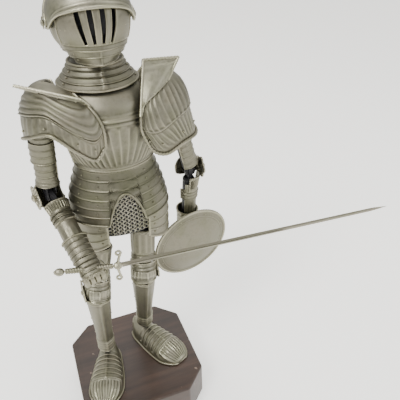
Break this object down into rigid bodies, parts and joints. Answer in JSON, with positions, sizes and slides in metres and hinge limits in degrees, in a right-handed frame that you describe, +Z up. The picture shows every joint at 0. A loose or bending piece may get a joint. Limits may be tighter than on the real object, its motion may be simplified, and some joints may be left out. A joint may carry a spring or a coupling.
{
  "type": "armoured knight figure",
  "caption": "Metal display figure of a knight in plate armour on an octagonal wooden base, with turning helmet, lifting visor, jointed arms, sliding sword and round shield.",
  "frame": {"origin": "centre of the base's underside", "axes": "+Z up, the figure faces -Y, +X is the figure's left"},
  "size_m": [0.2832, 0.1598, 0.4293],
  "materials": {
    "base": "dark stained, satin",
    "plate": "antiqued, satin",
    "bright": "antiqued, polished edges",
    "dark": "darkened",
    "black": "matte black"
  },
  "bodies": {
    "stand": {"wooden_base": "base", "right_leg_bolt": "dark", "right_leg_core": "black", "right_sabaton": "plate", "right_greave": "plate", "right_poleyn": "plate", "right_cuisse": "plate", "right_tasset": "plate", "left_leg_bolt": "dark", "left_leg_core": "black", "left_sabaton": "plate", "left_greave": "plate", "left_poleyn": "plate", "left_cuisse": "plate", "left_tasset": "plate", "torso_core": "black", "breastplate": "plate", "plackart": "plate", "backplate": "plate", "fauld": "plate", "mail_skirt": "dark", "gorget": "plate", "shoulder_rod": "dark", "right_pauldron": "plate", "left_pauldron": "plate", "right_haute_piece": "bright", "left_haute_piece": "bright"},
    "helmet": {"head_core": "black", "helmet_skull": "plate", "face_guard": "plate", "bevor": "plate", "visor_pivot_rod": "bright"},
    "visor": {"visor": "bright"},
    "right_upper_arm": {"right_upper_arm_core": "black", "right_rerebrace": "plate", "right_arm_lames": "plate", "right_elbow_pin": "dark", "right_couter": "plate", "right_elbow_wing": "bright"},
    "right_forearm": {"right_forearm_core": "black", "right_vambrace": "plate", "right_cuff": "bright", "right_gauntlet": "plate"},
    "left_upper_arm": {"left_upper_arm_core": "black", "left_rerebrace": "plate", "left_arm_lames": "plate", "left_elbow_pin": "dark", "left_couter": "plate", "left_elbow_wing": "bright"},
    "left_forearm": {"left_forearm_core": "black", "left_vambrace": "plate", "left_cuff": "bright", "left_gauntlet": "plate", "shield_face": "plate", "shield_rim": "bright", "shield_handle": "dark"},
    "sword": {"sword_blade": "bright", "sword_guard": "bright", "sword_grip": "plate", "sword_pommel": "bright"}
  },
  "joints": [
    {"name": "helmet_turn", "type": "hinge", "parent": "stand", "child": "helmet", "pos_m": [0.002, 0, 0.384], "axis": [0, 0, 1], "range_deg": [-20, 20]},
    {"name": "visor_hinge", "type": "hinge", "parent": "helmet", "child": "visor", "pos_m": [0.002, -0.001, 0.397], "axis": [1, 0, 0], "range_deg": [0, 34]},
    {"name": "right_shoulder", "type": "hinge", "parent": "stand", "child": "right_upper_arm", "pos_m": [-0.046, 0, 0.336], "axis": [-1, 0, 0], "range_deg": [-2, 22]},
    {"name": "right_elbow", "type": "hinge", "parent": "right_upper_arm", "child": "right_forearm", "pos_m": [-0.05, 0.003, 0.263], "axis": [-0.9633, -0.2685, 0], "range_deg": [-2, 38]},
    {"name": "left_shoulder", "type": "hinge", "parent": "stand", "child": "left_upper_arm", "pos_m": [0.055, 0, 0.336], "axis": [-1, 0, 0], "range_deg": [-6, 6]},
    {"name": "left_elbow", "type": "hinge", "parent": "left_upper_arm", "child": "left_forearm", "pos_m": [0.0745, 0.008, 0.256], "axis": [-1, 0, 0], "range_deg": [0, 16]},
    {"name": "sword_slide", "type": "slide", "parent": "right_forearm", "child": "sword", "axis": [0.9883, -0.1348, -0.0719], "range_m": [0, 0.008]}
  ]
}
